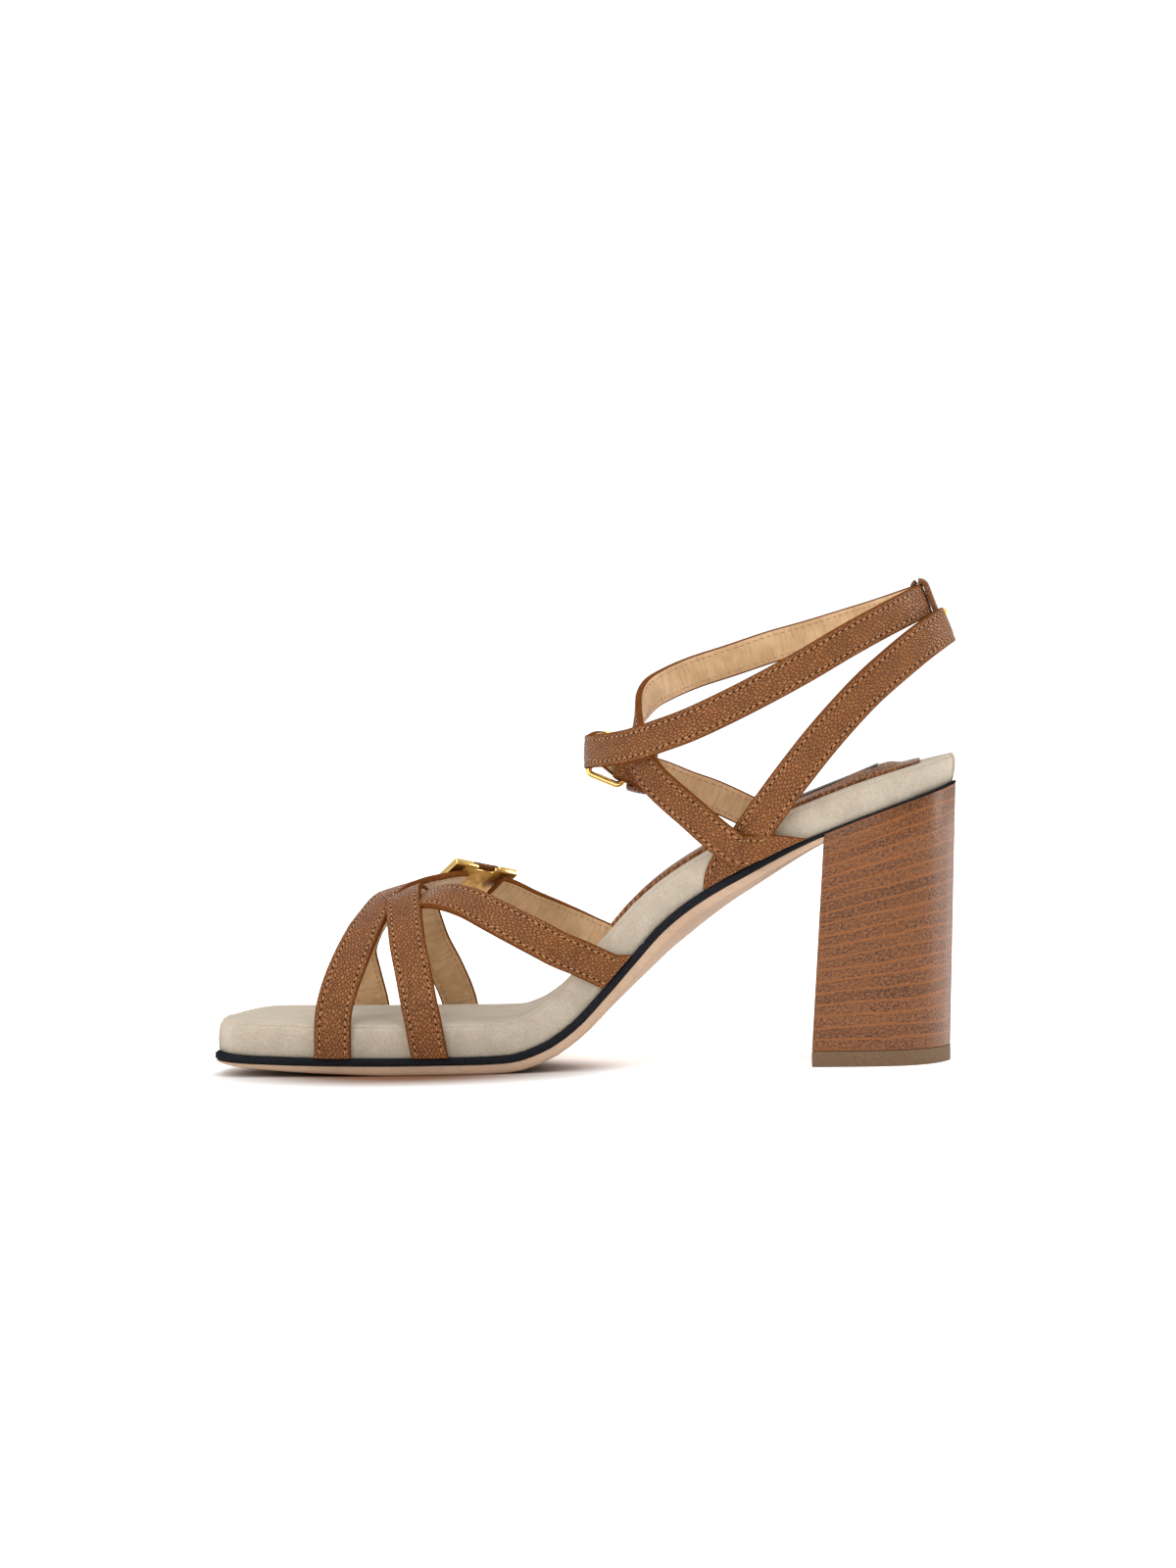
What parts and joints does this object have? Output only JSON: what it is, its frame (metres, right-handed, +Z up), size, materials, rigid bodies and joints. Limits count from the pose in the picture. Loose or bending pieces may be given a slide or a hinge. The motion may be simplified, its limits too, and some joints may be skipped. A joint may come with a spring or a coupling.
{
  "type": "heeled sandal",
  "caption": "Open sandal with crossed leather straps over the forefoot, a buckled ankle strap and a high block heel of stacked leather.",
  "frame": {"origin": "centre of the heel's ground face, on the floor", "axes": "+X along the shoe from the toe to the heel, -Y to the inner (medial) side, +Z up"},
  "size_m": [0.2247, 0.0821, 0.1468],
  "materials": {
    "sole_leather": "satin",
    "black_edge": "satin",
    "suede": "matte",
    "grained_leather": "satin",
    "black_patch": "matte",
    "stacked_leather": "satin",
    "top_rubber": "matte",
    "gold": "polished"
  },
  "bodies": {
    "root": {"outsole": "sole_leather", "board": "black_edge", "footbed": "suede", "sock": "grained_leather", "label": "black_patch", "heel": "stacked_leather", "top_piece": "top_rubber", "vamp_straps": "grained_leather", "vamp_outer_strap": "grained_leather", "buckle": "gold", "prong": "gold", "buckle_strap": "grained_leather", "ankle_straps": "grained_leather", "buckle_keeper": "grained_leather", "back_keeper": "grained_leather", "stud": "gold", "clasp": "gold", "clasp_inlay": "grained_leather"}
  },
  "joints": []
}
